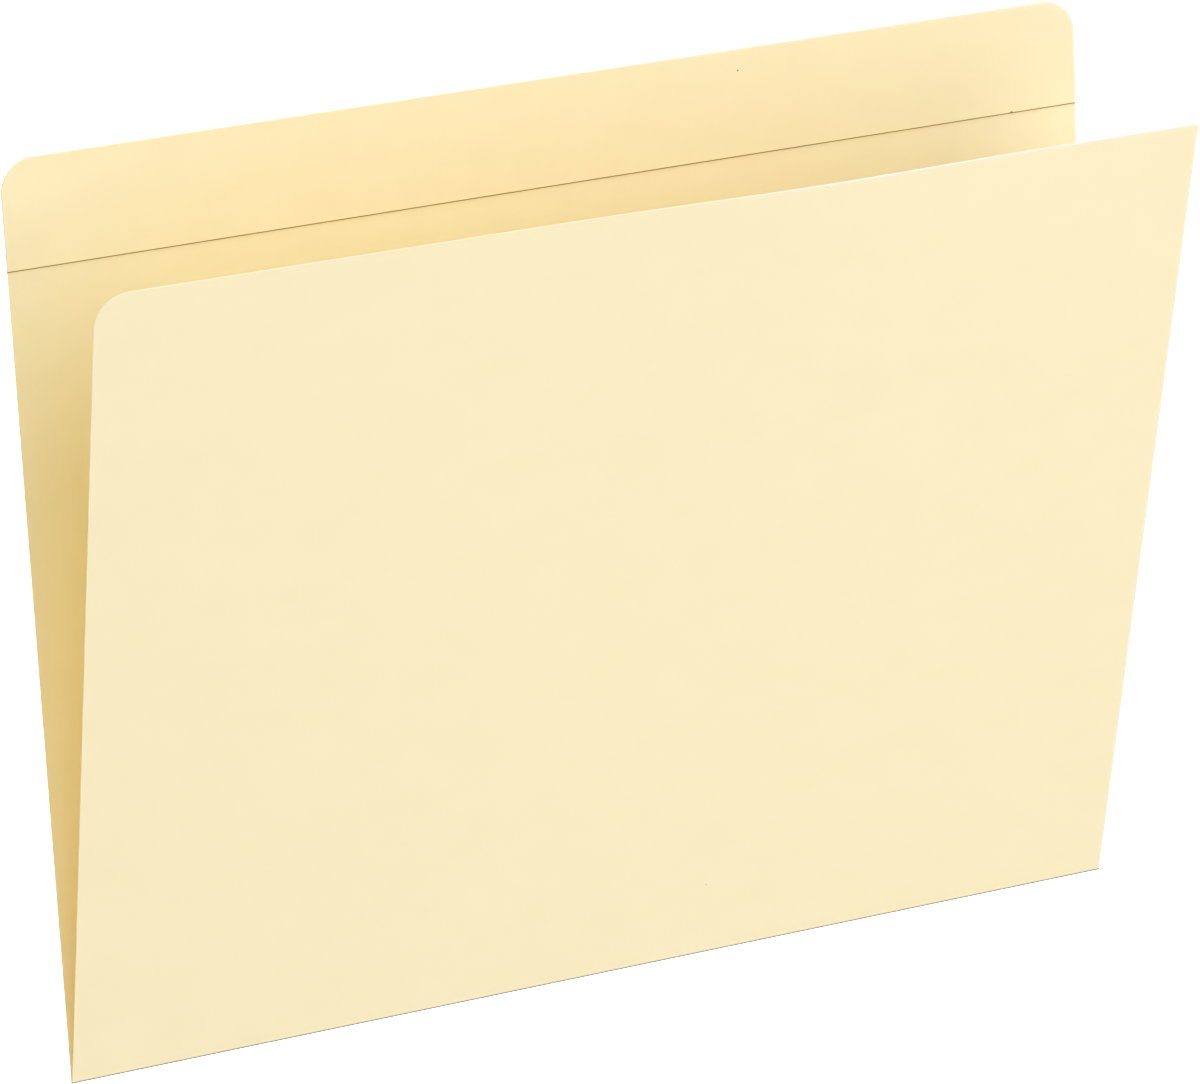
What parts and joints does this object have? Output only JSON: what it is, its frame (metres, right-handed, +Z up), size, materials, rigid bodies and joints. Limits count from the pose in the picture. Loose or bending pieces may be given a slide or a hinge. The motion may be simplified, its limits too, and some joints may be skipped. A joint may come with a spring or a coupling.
{
  "type": "manila folder",
  "caption": "Straight-cut manila file folder of creased card stock, with a doubled full-width tab and a front leaf that opens on the sprung bottom fold.",
  "frame": {"origin": "lowest line of the bottom fold, half way along its length", "axes": "+X along the bottom fold to the right as seen from the front, +Y out of the back leaf, +Z up the back leaf to the tab; the front leaf opens towards -Y"},
  "size_m": [0.2954, 0.0644, 0.2413],
  "materials": {
    "manila_stock": "matte",
    "dried_glue": "satin"
  },
  "bodies": {
    "back": {"back_leaf": "manila_stock", "bottom_fold": "manila_stock", "tab_fold": "manila_stock", "tab_ply": "manila_stock", "tab_glue": "dried_glue"},
    "front": {"front_leaf": "manila_stock"}
  },
  "joints": [
    {"name": "bottom_crease", "type": "hinge", "parent": "back", "child": "front", "pos_m": [0, 0, 0.00048], "axis": [1, 0, 0], "range_deg": [-16, 164], "stiffness_Nm_per_rad": 0.06, "springref_deg": -4.57}
  ]
}
